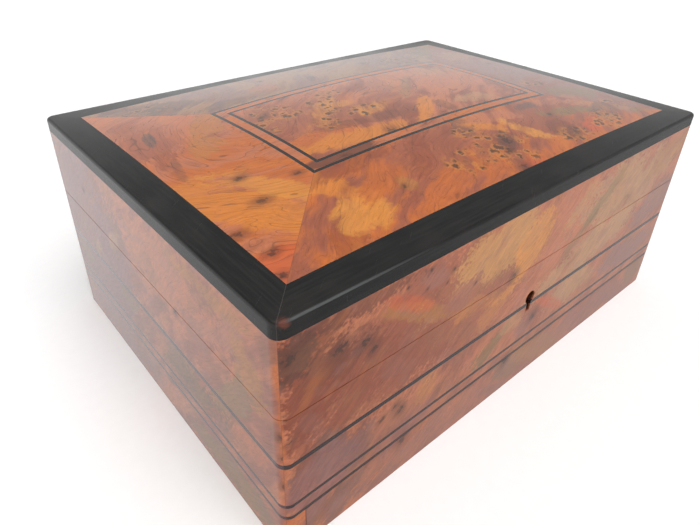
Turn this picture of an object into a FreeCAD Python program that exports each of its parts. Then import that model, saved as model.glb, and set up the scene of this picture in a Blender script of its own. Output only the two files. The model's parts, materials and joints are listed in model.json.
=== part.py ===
import FreeCAD, Part
import os
import re
from FreeCAD import Placement, Rotation, Vector

# A lidded, inlaid burl-wood box with a lock and a hidden key pocket.
# +X is to the right along the length, the front faces -Y, +Z is up, and the origin is the centre of the
# flat underside. All sizes are in millimetres. Shapes that only cut reach 1 mm past the material.

SIZES = {
    # outside
    "box_length": 250.0,
    "box_width": 180.0,
    "arris_height": 100.7,      # top edge of the sides, where the domed top begins
    "dome_rise": 9.3,           # how far the middle of the top stands above the arris
    "corner_radius": 3.8,       # upright corners
    "arris_radius": 1.2,        # worn edge between sides and top
    # walls and lid
    "wall": 12.0,
    "seam_height": 65.2,        # rim of the box
    "seam_gap": 0.3,            # between rim and lid
    "lid_board": 6.0,           # core board below the edging
    "lining": 1.0,
    # ebony edging and inlay of the top
    "border_width": 12.0,
    "border_drop": 5.7,
    "veneer": 1.5,
    "string_inset": 53.25,      # from the sides to the outer black rectangle
    "string_width": 1.5,
    "band_width": 3.8,
    # black lines round the sides
    "line_depth": 2.0,
    "waist_height": 43.8,
    "waist_line": 2.0,
    "foot_height": 18.65,       # lower end of the walls, and of the lowest line
    "thin_line": 1.5,
    "line_spacing": 5.8,
    # floor and base
    "floor_panel": 3.0,
    "felt": 1.0,
    "strip": 8.0,
    "running_gap": 0.25,
    "strip_travel": 7.5,
    "neck_height": 4.0,
    "head_height": 8.0,
    "tongue_lip": 3.0,
    "tongue_depth": 9.0,
    "tongue_inset": 17.0,
    "stop_radius": 1.2,
    "stop_length": 14.0,
    "stop_inset": 26.0,
    # key and its pocket
    "pocket_width": 5.8,
    "pocket_height": 14.5,
    "pocket_depth": 40.0,
    "pocket_floor": 2.0,
    "pocket_inset": 1.5,
    "bow_radius": 5.2,
    "bow_wire": 1.1,
    "stem_radius": 1.9,
    "stem_bore": 1.1,
    "stem_length": 24.0,
    "bit_length": 3.0,
    "bit_reach": 5.2,
    "bit_thickness": 1.4,
    # lock
    "lock_drop": 17.2,          # from the rim down to the key's axis
    "keyhole_radius": 3.1,
    "keyslot_width": 2.8,
    "keyslot_drop": 7.2,
    "drill_pin_radius": 0.9,
    "drill_pin_inset": 2.5,
    "lock_width": 44.0,
    "lock_height": 30.0,
    "lock_depth": 6.0,
    "lock_plate": 1.2,
    "plate_margin": 4.0,
    "case_wall": 1.0,
    "selvage": 1.5,
    "play": 0.3,
    "bolt_thickness": 2.8,
    "bolt_travel": 4.0,
    "bar_height": 4.0,
    "bar_rise": 3.4,            # from the key's axis up to the bar of the bolt
    "finger_height": 2.6,
    "finger_width": 2.5,
    "hook_pitch": 20.0,
    "hook_drop": 8.6,
    "leg_width": 2.5,
    "toe_length": 4.0,
    "toe_height": 2.4,
    "hook_thickness": 2.2,
    "strike_width": 46.0,
    "strike_depth": 5.6,
    "strike_plate": 1.2,
    "spring_radius": 3.2,
    "spring_wire": 0.35,
    # hinges
    "hinge_inset": 50.0,        # from the ends to the middle of each hinge
    "hinge_length": 32.0,
    "hinge_leaf": 1.0,
    "leaf_reach": 11.0,
    "knuckle_radius": 2.0,
    "knuckle_gap": 0.15,
    "hinge_pin_radius": 1.0,
    "pin_clearance": 0.04,
    "hinge_offset": 2.2,        # pin axis behind the back face
    "heel_length": 4.2,
    "heel_thickness": 1.2,
    "tab_height": 7.0,
    "tab_clearance": 0.1,
    "screw_pitch": 20.0,
    # small countersunk screws
    "screw_radius": 0.9,
    "screw_head": 1.8,
    "screw_head_height": 1.0,
    "screw_length": 8.0,
    "screw_slot": 0.4,
}

doc = FreeCAD.newDocument("burl_box")
sheet = doc.addObject("Spreadsheet::Sheet", "sheet")
sheet.Label = "sizes"
for row, (alias, value) in enumerate(SIZES.items(), start=1):
    sheet.set(f"A{row}", alias)
    sheet.set(f"B{row}", str(value))
    sheet.setAlias(f"B{row}", alias)
doc.recompute()

# Places that several pieces share, as rules on the sheet's sizes.
PLACES = {
    "half_length": "(box_length / 2)",
    "half_width": "(box_width / 2)",
    "lid_low": "(seam_height + seam_gap)",
    "edging_low": "(arris_height - border_drop)",
    "above_top": "(arris_height + dome_rise + 1)",
    "board_low": "(arris_height - border_drop - lid_board)",
    "upper_line": "(foot_height + line_spacing)",
    "floor_top": "(foot_height + floor_panel)",
    "key_axis": "(seam_height - lock_drop)",
    "inner_face": "(box_width / 2 - wall)",
    "band_inset": "(string_inset + string_width)",
    "inner_inset": "(string_inset + string_width + band_width)",
    "panel_inset": "(string_inset + 2 * string_width + band_width)",
    "hinge_axis_y": "(box_width / 2 + hinge_offset)",
    "hinge_axis_z": "(seam_height + seam_gap / 2)",
    "tongue_mid": "(foot_height / 2)",
    "plinth_front": "(box_width / 2 - strip)",
    "case_front": "(wall - lock_depth)",
}

pieces = {}     # node name -> the document object that is the finished piece


def rule(text):
    """A rule in plain words, written out with the sheet's cells."""
    def expand(match):
        word = match.group()
        if word in PLACES:
            return rule(PLACES[word])
        return "sheet." + word if word in SIZES else word
    return re.sub(r"[a-z_]+[a-z0-9_]*", expand, str(text))


def bind(item, rules):
    for name, text in rules.items():
        item.setExpression(name, rule(text))
    return item


def keep(name, item):
    """Names a finished piece."""
    item.Label = name
    pieces[name] = item
    return item


def add(kind, name):
    return doc.addObject(kind, name + "_shape")


def block(name, low, high):
    """A block between two corners, each given as three rules."""
    item = add("Part::Box", name)
    for axis, side, start, end in zip("xyz", ("Length", "Width", "Height"), low, high):
        bind(item, {f"Placement.Base.{axis}": start, side: f"({end}) - ({start})"})
    return item


TURNS = {
    "+z": Rotation(),
    "-z": Rotation(Vector(1, 0, 0), 180),
    "+x": Rotation(Vector(0, 1, 0), 90),
    "+y": Rotation(Vector(1, 0, 0), -90),
    "-y": Rotation(Vector(1, 0, 0), 90),
}


def place(item, start, direction="+z"):
    item.Placement = Placement(Vector(), TURNS[direction])
    return bind(item, {f"Placement.Base.{axis}": text for axis, text in zip("xyz", start)})


def rod(name, radius, length, start, direction="+z"):
    item = place(add("Part::Cylinder", name), start, direction)
    return bind(item, {"Radius": radius, "Height": length})


def fuse(name, *items):
    item = add("Part::MultiFuse", name)
    item.Shapes = list(items)
    return item


def cut(name, base, *tools):
    item = add("Part::Cut", name)
    item.Base = base
    item.Tool = tools[0] if len(tools) == 1 else fuse(name + "_tools", *tools)
    return item


def common(name, base, tool):
    item = add("Part::Common", name)
    item.Base = base
    item.Tool = tool
    return item


def group(name, items):
    item = add("Part::Compound", name)
    item.Links = list(items)
    return item


# ---- mitred frames: one side of a picture-frame, turned about Z to its place ----

SIDES = {"front": 0, "right": 90, "back": 180, "left": 270}


def extents(side):
    """Half the side's own length, and how far it lies from the middle."""
    return ("half_length", "half_width") if side in ("front", "back") else ("half_width", "half_length")


def mitred(name, side, inset, width, low, high):
    along, away = extents(side)
    item = add("Part::Wedge", name)
    outer, inner = f"{along} - ({inset})", f"{along} - ({inset}) - ({width})"
    bind(item, {
        "Ymin": f"-({away} - ({inset}))", "Ymax": f"-({away} - ({inset}) - ({width}))",
        "Xmin": f"-({outer})", "Xmax": outer, "X2min": f"-({inner})", "X2max": inner,
        "Zmin": low, "Zmax": high, "Z2min": low, "Z2max": high,
    })
    item.Placement = Placement(Vector(), Rotation(Vector(0, 0, 1), SIDES[side]))
    return item


# ---- forms that the pieces are cut from ----

def upright_edges(shape):
    """Names of a block's upright edges."""
    names = []
    for number, edge in enumerate(shape.Edges, start=1):
        start, end = (vertex.Point for vertex in edge.Vertexes)
        if abs(start.z - end.z) > 1.0:
            names.append(f"Edge{number}")
    return names


def rounded_block():
    """The whole outline of the box with its upright corners rounded."""
    body = doc.addObject("PartDesign::Body", "outline")
    stock = body.newObject("PartDesign::AdditiveBox", "outline_stock")
    bind(stock, {
        "Length": "box_length", "Width": "box_width", "Height": "above_top",
        "Placement.Base.x": "-half_length", "Placement.Base.y": "-half_width",
    })
    doc.recompute()
    corners = body.newObject("PartDesign::Fillet", "outline_corners")
    corners.Base = (stock, upright_edges(stock.Shape))
    bind(corners, {"Radius": "corner_radius"})
    doc.recompute()
    return body


def dome_face():
    """The pillow-shaped top: flat along its four edges and highest in the middle."""
    surface = Part.BezierSurface()
    surface.increase(2, 2)
    rise = 4 * sheet.dome_rise      # the middle pole of a 3 x 3 net has a quarter of the weight
    for i, x in enumerate((-sheet.box_length / 2, 0, sheet.box_length / 2), start=1):
        for j, y in enumerate((-sheet.box_width / 2, 0, sheet.box_width / 2), start=1):
            height = sheet.arris_height + (rise if (i, j) == (2, 2) else 0)
            surface.setPole(i, j, Vector(x, y, height))
    return surface.toShape()


def form(name, shape):
    item = doc.addObject("Part::Feature", name)
    item.Shape = shape
    return item


def domed_forms(outline):
    """The lid's whole body with its worn arris, the board under the veneer, and the veneer's skin."""
    face = dome_face()
    depth = sheet.arris_height - sheet.seam_height
    whole = face.extrude(Vector(0, 0, -depth)).common(outline.Shape)
    arris = []
    for edge in whole.Edges:
        if all(abs(vertex.Z - sheet.arris_height) < 0.2 for vertex in edge.Vertexes):
            arris.append(edge)
    whole = whole.makeFillet(sheet.arris_radius, arris)
    under = face.extrude(Vector(0, 0, -depth))
    under.translate(Vector(0, 0, -sheet.veneer))
    skin = face.extrude(Vector(0, 0, -sheet.veneer))
    return form("lid_form", whole), form("board_form", under), form("veneer_form", skin)


outline = rounded_block()
lid_form, board_form, veneer_form = domed_forms(outline)


# ---- fasteners ----

def screw(name, at, direction, length="screw_length"):
    """A countersunk screw whose head's face is at the given point, pointing in a direction."""
    head = place(add("Part::Cone", name + "_head"), at, direction)
    bind(head, {"Radius1": "screw_head", "Radius2": "screw_radius", "Height": "screw_head_height"})
    shank = rod(name + "_shank", "screw_radius", length, at, direction)
    return fuse(name, head, shank)


def slotted(name, plain, at, direction):
    """The same screw with its driver slot."""
    x, y, z = at
    far, half = "screw_head + 1", "screw_slot / 2"
    if direction == "-y":
        low = (f"({x}) - ({far})", f"({y}) - screw_slot", f"({z}) - {half}")
        high = (f"({x}) + {far}", f"({y}) + 1", f"({z}) + {half}")
    else:
        sign = "+" if direction == "-z" else "-"
        ends = [f"({z}) {sign} 1", f"({z}) {'-' if sign == '+' else '+'} screw_slot"]
        low_z, high_z = ends if sign == "-" else reversed(ends)
        low = (f"({x}) - ({far})", f"({y}) - {half}", low_z)
        high = (f"({x}) + {far}", f"({y}) + {half}", high_z)
    return cut(name + "_slotted", plain, block(name + "_slot", low, high))


def screws(node, places, direction, length="screw_length"):
    """A group of identical screws, and the plain screws as tools for their holes."""
    plain = [screw(f"{node}_{n}", at, direction, length) for n, at in enumerate(places, start=1)]
    made = [slotted(f"{node}_{n}", tool, at, direction)
            for n, (tool, at) in enumerate(zip(plain, places), start=1)]
    keep(node, group(node, made))
    return plain


# ---- hinges: two butt hinges with stop heels, knuckles behind the back face ----

HINGE_CENTRES = ("-(half_length - hinge_inset)", "half_length - hinge_inset")


def along(centre, start, end):
    return f"{centre} + ({start})", f"{centre} + ({end})"


def hinge_leaf_block(name, centre, low, high):
    left, right = along(centre, "-hinge_length / 2", "hinge_length / 2")
    return block(name, (left, "half_width - leaf_reach", low), (right, "half_width + 1", high))


def knuckle(name, centre, start, end):
    left = f"{centre} + ({start})"
    return rod(name, "knuckle_radius", f"({end}) - ({start})",
               (left, "hinge_axis_y", "hinge_axis_z"), "+x")


def pin_bore(name, centre):
    left = f"{centre} - hinge_length"
    return rod(name, "hinge_pin_radius + pin_clearance", "2 * hinge_length",
               (left, "hinge_axis_y", "hinge_axis_z"), "+x")


def box_leaf(n, centre):
    """Fixed leaf: lies on the rim, carries the two outer knuckles and the tab that the heel stops on."""
    third = "hinge_length / 6"
    name = f"box_leaf_{n}"
    leaf = hinge_leaf_block(name + "_plate", centre, "seam_height - hinge_leaf", "seam_height")
    left, right = along(centre, "-hinge_length / 2", "hinge_length / 2")
    back = "half_width + tab_clearance"
    tab = block(name + "_tab", (left, back, "seam_height - tab_height"),
                (right, f"{back} + hinge_leaf", "seam_height"))
    outer = [knuckle(name + "_a", centre, "-hinge_length / 2", f"-{third} - knuckle_gap"),
             knuckle(name + "_b", centre, f"{third} + knuckle_gap", "hinge_length / 2")]
    gap_low, gap_high = along(centre, f"-{third} - knuckle_gap", f"{third} + knuckle_gap")
    room = block(name + "_room", (gap_low, back, "hinge_axis_z - knuckle_radius - play"),
                 (gap_high, "half_width + leaf_reach", "seam_height + leaf_reach"))
    turning = rod(name + "_turning", "knuckle_radius + knuckle_gap", f"2 * ({third} + knuckle_gap)",
                  (gap_low, "hinge_axis_y", "hinge_axis_z"), "+x")
    whole = fuse(name + "_whole", leaf, tab, *outer)
    return cut(name, whole, room, turning, pin_bore(name + "_bore", centre))


def lid_leaf(n, centre):
    """Moving leaf: lies under the lid's edge, carries the middle knuckle and the stop heel."""
    third = "hinge_length / 6"
    name = f"lid_leaf_{n}"
    left, right = along(centre, "-hinge_length / 2", "hinge_length / 2")
    mid_low, mid_high = along(centre, f"-{third}", third)
    leaf = block(name + "_plate", (left, "half_width - leaf_reach", "lid_low"),
                 (right, "half_width", "lid_low + hinge_leaf"))
    neck = block(name + "_neck", (mid_low, "half_width - 1", "lid_low"),
                 (mid_high, "hinge_axis_y", "lid_low + hinge_leaf"))
    middle = knuckle(name + "_middle", centre, f"-{third}", third)
    heel = block(name + "_heel", (mid_low, "hinge_axis_y", "hinge_axis_z - heel_thickness / 2"),
                 (mid_high, "hinge_axis_y + heel_length", "hinge_axis_z + heel_thickness / 2"))
    return cut(name, fuse(name + "_whole", leaf, neck, middle, heel), pin_bore(name + "_bore", centre))


def hinge_pin(n, centre):
    left = f"{centre} - hinge_length / 2"
    return rod(f"hinge_pin_{n}", "hinge_pin_radius", "hinge_length",
               (left, "hinge_axis_y", "hinge_axis_z"), "+x")


def hinge_screw_places(height):
    y = "half_width - leaf_reach / 2"
    return [(f"{centre} {sign} screw_pitch / 2", y, height)
            for centre in HINGE_CENTRES for sign in "-+"]


def hinges():
    """Makes the hinges and returns the tools that sink them into the rim and into the lid."""
    box_leaves = [box_leaf(n, c) for n, c in enumerate(HINGE_CENTRES, start=1)]
    lid_leaves = [lid_leaf(n, c) for n, c in enumerate(HINGE_CENTRES, start=1)]
    box_screws = screws("hinge_box_screws", hinge_screw_places("seam_height"), "-z")
    lid_screws = screws("hinge_lid_screws", hinge_screw_places("lid_low"), "+z")
    keep("hinge_box_leaves", cut("hinge_box_leaves", group("box_leaves", box_leaves), *box_screws))
    keep("hinge_lid_leaves", cut("hinge_lid_leaves", group("lid_leaves", lid_leaves), *lid_screws))
    keep("hinge_pins", group("hinge_pins", [hinge_pin(n, c) for n, c in enumerate(HINGE_CENTRES, start=1)]))
    box_seats = [hinge_leaf_block(f"box_seat_{n}", c, "seam_height - hinge_leaf", "seam_height + 1")
                 for n, c in enumerate(HINGE_CENTRES, start=1)]
    lid_seats = [hinge_leaf_block(f"lid_seat_{n}", c, "lid_low - 1", "lid_low + hinge_leaf")
                 for n, c in enumerate(HINGE_CENTRES, start=1)]
    return box_seats + box_screws, lid_seats + lid_screws


# ---- lock: case with its plate on the inside of the front wall, bolt, spring, drill pin, strike ----

HOOKS = ("-hook_pitch / 2", "hook_pitch / 2")     # where the toe of each hook meets its leg
MID_Y = "-(half_width - case_front - lock_depth / 2)"


def lock_body(name):
    """The case's envelope: body and inner plate."""
    body = block(name + "_body",
                 ("-lock_width / 2", "-(half_width - case_front)", "seam_height - lock_height"),
                 ("lock_width / 2", "-inner_face", "seam_height"))
    plate = block(name + "_plate",
                  ("-(lock_width / 2 + plate_margin)", "-(inner_face + lock_plate)",
                   "seam_height - lock_height - plate_margin"),
                  ("lock_width / 2 + plate_margin", "-inner_face", "seam_height"))
    return fuse(name, body, plate)


def keyhole(name, depth_from, depth_to):
    """A round hole with a slot below it, along Y."""
    hole = rod(name + "_round", "keyhole_radius", f"({depth_to}) - ({depth_from})",
               ("0", depth_from, "key_axis"), "+y")
    slot = block(name + "_slot", ("-keyslot_width / 2", depth_from, "key_axis - keyslot_drop"),
                 ("keyslot_width / 2", depth_to, "key_axis"))
    return fuse(name, hole, slot)


def lock_case(screw_tools):
    hollow = block("case_hollow",
                   ("-(lock_width / 2 - case_wall)", "-(half_width - case_front - case_wall)",
                    "seam_height - lock_height + case_wall"),
                   ("lock_width / 2 - case_wall", "-(inner_face + lock_plate)", "seam_height - selvage"))
    slots = []
    for n, hook in enumerate(HOOKS, start=1):
        slots.append(block(f"selvage_slot_{n}",
                           (f"{hook} - toe_length - play", f"{MID_Y} - hook_thickness / 2 - play",
                            "seam_height - selvage - 1"),
                           (f"{hook} + leg_width + play", f"{MID_Y} + hook_thickness / 2 + play",
                            "seam_height + 1")))
    front = "-(half_width - case_front + 1)"
    hole = keyhole("case_keyhole", front, "-(half_width - case_front - case_wall - play)")
    pin_hole = rod("case_pin_hole", "drill_pin_radius", "lock_plate + 2",
                   ("0", "-(inner_face + lock_plate + 1)", "key_axis"), "+y")
    return cut("lock_case", lock_body("case_whole"), hollow, hole, pin_hole, *slots, *screw_tools)


def lock_bolt():
    """A bar with two fingers that slide over the toes of the strike's hooks."""
    low_y, high_y = f"{MID_Y} - bolt_thickness / 2", f"{MID_Y} + bolt_thickness / 2"
    bar_low, bar_high = "key_axis + bar_rise", "key_axis + bar_rise + bar_height"
    finger_low = "seam_height - hook_drop + toe_height + play"
    finger_high = f"{finger_low} + finger_height"
    parts = []
    for n, hook in enumerate(HOOKS, start=1):
        tip = f"{hook} - toe_length - play"
        riser = f"{tip} - toe_length - finger_width"
        parts.append(block(f"bolt_finger_{n}", (riser, low_y, finger_low), (tip, high_y, finger_high)))
        parts.append(block(f"bolt_riser_{n}", (riser, low_y, bar_low),
                           (f"{riser} + finger_width", high_y, finger_high)))
    start = f"{HOOKS[0]} - 2 * toe_length - play - finger_width"
    end = f"{HOOKS[1]} - toe_length - play"
    parts.append(block("bolt_bar", (start, low_y, bar_low), (end, high_y, bar_high)))
    talon = block("bolt_talon", ("-bit_thickness", f"{low_y} - 1", f"{bar_low} - 1"),
                  ("bit_thickness + bolt_travel / 2", f"{high_y} + 1", f"{bar_low} + bar_height / 2"))
    return cut("lock_bolt", fuse("bolt_whole", *parts), talon)


def strike():
    """The plate in the lid's rim with its two hooks."""
    plate = block("strike_base", ("-strike_width / 2", f"{MID_Y} - strike_depth / 2", "lid_low"),
                  ("strike_width / 2", f"{MID_Y} + strike_depth / 2", "lid_low + strike_plate"))
    parts = [plate]
    low = "seam_height - hook_drop"
    low_y, high_y = f"{MID_Y} - hook_thickness / 2", f"{MID_Y} + hook_thickness / 2"
    for n, hook in enumerate(HOOKS, start=1):
        parts.append(block(f"hook_leg_{n}", (hook, low_y, low), (f"{hook} + leg_width", high_y, "lid_low")))
        parts.append(block(f"hook_toe_{n}", (f"{hook} - toe_length", low_y, low),
                           (hook, high_y, f"{low} + toe_height")))
    return fuse("strike_whole", *parts), plate


def lock_spring():
    """A bent leaf between the selvage and the bolt, which keeps the bolt from rattling."""
    low_y = f"{MID_Y} - hook_thickness / 2"
    x = f"{HOOKS[0]} + leg_width + spring_radius + 1"
    mid = (x, low_y, "key_axis + bar_rise + bar_height + spring_radius + play / 4")
    ring = cut("spring_ring", rod("spring_outer", "spring_radius", "hook_thickness", mid, "+y"),
               rod("spring_inner", "spring_radius - spring_wire", "hook_thickness", mid, "+y"))
    mouth = block("spring_mouth", (x, f"{low_y} - 1", "key_axis"),
                  (f"{x} + spring_radius + 1", f"{low_y} + hook_thickness + 1", "seam_height"))
    return cut("lock_spring", ring, mouth)


def lock():
    """Makes the lock; returns the tools for its recess in the front wall and for the strike's in the lid."""
    x = "(lock_width / 2 + plate_margin / 2)"
    high, low = "seam_height - plate_margin", "seam_height - lock_height"
    places = [(f"{sign}{x}", "-inner_face", z) for sign in ("-", "") for z in (low, high)]
    case_screws = screws("lock_screws", places, "-y", "screw_length - 2")
    keep("lock_case", lock_case(case_screws))
    keep("lock_bolt", lock_bolt())
    keep("lock_spring", lock_spring())
    pin_length = "wall - drill_pin_inset"
    keep("lock_drill_pin", rod("lock_drill_pin", "drill_pin_radius", pin_length,
                               ("0", "-(half_width - drill_pin_inset)", "key_axis"), "+y"))
    whole, plate = strike()
    strike_places = [(f"{sign}(strike_width / 2 - screw_head - 1)", MID_Y, "lid_low") for sign in ("-", "")]
    strike_screws = screws("strike_screws", strike_places, "+z")
    keep("strike_plate", cut("strike_plate", whole, *strike_screws))
    opening = keyhole("wall_keyhole", "-(half_width + 1)", "-(half_width - case_front - play)")
    return [lock_body("lock_recess"), opening] + case_screws, [plate] + strike_screws


# ---- walls with their black lines ----

LINES = {
    "waist_line": ("waist_height", "waist_height + waist_line"),
    "upper_base_line": ("upper_line", "upper_line + thin_line"),
    "lower_base_line": ("foot_height", "foot_height + thin_line"),
}


def walls(front_tools, back_tools):
    for side in SIDES:
        tools = []
        for line, (low, high) in LINES.items():
            raw = mitred(f"{line}_{side}_raw", side, "0", "line_depth", low, high)
            inlay = common(f"{line}_{side}", outline, raw)
            if side == "front" and line == "waist_line":
                gap = keyhole("line_keyhole", "-(half_width + 1)", "-(half_width - line_depth - 1)")
                inlay = cut("waist_line_front_open", inlay, gap)
            keep(f"{line}_{side}", inlay)
            tools.append(raw)
        stock = mitred(f"{side}_wall_raw", side, "0", "wall", "foot_height", "seam_height")
        tools += front_tools if side == "front" else back_tools if side == "back" else []
        keep(f"{side}_wall", cut(f"{side}_wall", common(f"{side}_wall_blank", outline, stock), *tools))


# ---- lid ----

def lid(front_tools, back_tools):
    for side in SIDES:
        stock = mitred(f"lid_{side}_rail_raw", side, "0", "wall", "lid_low", "edging_low")
        blank = common(f"lid_{side}_rail", outline, stock)
        tools = {"front": front_tools, "back": back_tools}.get(side)
        keep(f"lid_{side}_rail", cut(f"lid_{side}_rail_cut", blank, *tools) if tools else blank)

        edging = mitred(f"border_{side}_raw", side, "0", "border_width", "edging_low", "above_top")
        keep(f"lid_border_{side}", common(f"lid_border_{side}", lid_form, edging))

        field = mitred(f"field_{side}_raw", side, "border_width", "string_inset - border_width",
                       "edging_low", "above_top")
        keep(f"lid_field_{side}", common(f"lid_field_{side}", veneer_form, field))

        outer = mitred(f"outer_{side}_raw", side, "string_inset", "string_width", "edging_low", "above_top")
        keep(f"outer_stringing_{side}", common(f"outer_stringing_{side}", veneer_form, outer))

    for node, inset, width in (("inlay_band", "band_inset", "band_width"),
                               ("inner_stringing", "inner_inset", "string_width")):
        strips = []
        for side in SIDES:
            raw = mitred(f"{node}_{side}_raw", side, inset, width, "edging_low", "above_top")
            strips.append(common(f"{node}_{side}", veneer_form, raw))
        keep(node, group(node, strips))

    def centred(name, inset, low, high):
        return block(name, (f"-(half_length - ({inset}))", f"-(half_width - ({inset}))", low),
                     (f"half_length - ({inset})", f"half_width - ({inset})", high))

    middle = centred("centre_raw", "panel_inset", "edging_low", "above_top")
    keep("lid_centre_panel", common("lid_centre_panel", veneer_form, middle))
    lower = centred("board_lower", "wall", "board_low", "edging_low")
    inner = centred("board_raw", "border_width", "edging_low", "above_top")
    upper = common("board_upper", board_form, inner)
    keep("lid_top_panel", fuse("lid_top_panel", lower, upper))
    keep("lid_lining", centred("lid_lining", "wall", "board_low - lining", "board_low"))


# ---- base: plinth, strips, key pocket ----

def tongue(name, side, gap, start, end):
    """The T-shaped tongue of a sliding strip, or with a gap the groove it runs in."""
    face = f"{extents(side)[1]} - strip"
    neck = block(name + "_neck",
                 (start, f"-({face} + running_gap)", f"tongue_mid - neck_height / 2 - ({gap})"),
                 (end, f"-({face} - tongue_lip)", f"tongue_mid + neck_height / 2 + ({gap})"))
    head = block(name + "_head",
                 (start, f"-({face} - tongue_lip) - ({gap})", f"tongue_mid - head_height / 2 - ({gap})"),
                 (end, f"-({face} - tongue_depth) + ({gap})", f"tongue_mid + head_height / 2 + ({gap})"))
    return neck, head


def turned(item, side):
    """Moves a piece made at the front to another side."""
    holder = group(item.Name.removesuffix("_shape") + "_turned", [item])
    holder.Placement = Placement(Vector(), Rotation(Vector(0, 0, 1), SIDES[side]))
    return holder


def stop_place(side):
    """Where the stop screw stands, in the strip's own frame."""
    along_side, away = extents(side)
    x = f"-({along_side} - strip - tongue_inset - stop_inset)"
    y = f"-({away} - strip - (tongue_lip + tongue_depth) / 2)"
    return x, y


def sliding_strip(name, side, square_end, far_end):
    """A strip with a mitre where the two sliding strips meet and a square end elsewhere."""
    along_side, away = extents(side)
    mitre_outer, mitre_inner = f"{along_side} - play / 2", f"{along_side} - play / 2 - strip + running_gap"
    face = f"-({away} - strip + running_gap)"
    low, high = "running_gap", "foot_height - running_gap"
    ends = {"Xmin": square_end, "X2min": square_end, "Xmax": mitre_outer, "X2max": mitre_inner}
    if far_end:
        ends = {"Xmin": f"-({mitre_outer})", "X2min": f"-({mitre_inner})", "Xmax": far_end, "X2max": far_end}
    stock = bind(add("Part::Wedge", name + "_stock"), {
        **ends, "Ymin": f"-({away})", "Ymax": face, "Zmin": low, "Zmax": high, "Z2min": low, "Z2max": high,
    })
    half = f"{along_side} - strip - tongue_inset"
    neck, head = tongue(name + "_tongue", side, "0", f"-({half})", half)
    x, y = stop_place(side)
    slot = block(name + "_stop_slot",
                 (f"{x} - strip_travel - stop_radius - play", f"{y} - stop_radius - play", "0"),
                 (f"{x} + stop_radius + play", f"{y} + stop_radius + play", "foot_height"))
    whole = turned(cut(name + "_straight", fuse(name + "_whole", stock, neck, head), slot), side)
    return keep(name, cut(name, whole, corner_waste(side)))


def corner_waste(side):
    """What lies outside the rounded outline, along one side."""
    along_side, away = extents(side)
    wide = block(f"{side}_corner_stock", (f"-({along_side} + 1)", f"-({away} + 1)", "-1"),
                 (f"{along_side} + 1", f"-({away} - corner_radius)", "foot_height"))
    return cut(f"{side}_corner_waste", turned(wide, side), outline)


def strip_groove(name, side):
    along_side = extents(side)[0]
    half = f"{along_side} - strip - tongue_inset"
    neck, head = tongue(name, side, "running_gap", f"-({half}) - running_gap", f"{along_side} - strip + 1")
    return turned(fuse(name + "_both", neck, head), side)


def stop_screws():
    places = []
    for side in ("front", "right"):
        x, y = stop_place(side)
        places.append((x, y, "play") if side == "front" else (f"-({y})", x, "play"))
    tools = []
    made = []
    for n, at in enumerate(places, start=1):
        name = f"stop_screw_{n}"
        head = place(add("Part::Cone", name + "_head"), at)
        bind(head, {"Radius1": "2 * stop_radius", "Radius2": "stop_radius", "Height": "stop_radius"})
        plain = fuse(name, head, rod(name + "_shank", "stop_radius", "stop_length", at))
        mouth = rod(name + "_mouth", "2 * stop_radius", "play + 1", (at[0], at[1], "-1"))
        tools += [plain, mouth]
        made.append(slotted(name, plain, at, "+z"))
    keep("stop_screws", group("stop_screws", made))
    return tools


def key():
    """A barrel key that lies in its pocket with its bow towards the front."""
    middle_x = "-(half_length - strip - pocket_inset - pocket_width / 2)"
    start_y = "-(plinth_front - running_gap * 2)"
    axis_z = "pocket_floor + bow_radius + bow_wire + running_gap"
    body = doc.addObject("PartDesign::Body", "key_body")
    bow = body.newObject("PartDesign::AdditiveTorus", "key_bow")
    bind(bow, {"Radius1": "bow_radius", "Radius2": "bow_wire"})
    bow.Placement = Placement(Vector(), TURNS["+x"])
    stem = body.newObject("PartDesign::AdditiveCylinder", "key_stem")
    bind(stem, {"Radius": "stem_radius", "Height": "stem_length"})
    stem.Placement = Placement(Vector(), TURNS["+y"])
    bind(stem, {"Placement.Base.y": "bow_radius - bow_wire / 2"})
    bit = body.newObject("PartDesign::AdditiveBox", "key_bit")
    bind(bit, {"Length": "bit_thickness", "Width": "bit_length", "Height": "bit_reach",
               "Placement.Base.x": "-bit_thickness / 2",
               "Placement.Base.y": "bow_radius - bow_wire / 2 + stem_length - bit_length"})
    bore = body.newObject("PartDesign::SubtractiveCylinder", "key_bore")
    bore.Placement = Placement(Vector(), TURNS["+y"])
    bind(bore, {"Radius": "stem_bore", "Height": "stem_length / 2",
                "Placement.Base.y": "bow_radius - bow_wire / 2 + stem_length / 2"})
    bind(body, {"Placement.Base.x": middle_x, "Placement.Base.z": axis_z,
                "Placement.Base.y": f"{start_y} + bow_radius + bow_wire"})
    return keep("key", body)


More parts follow.
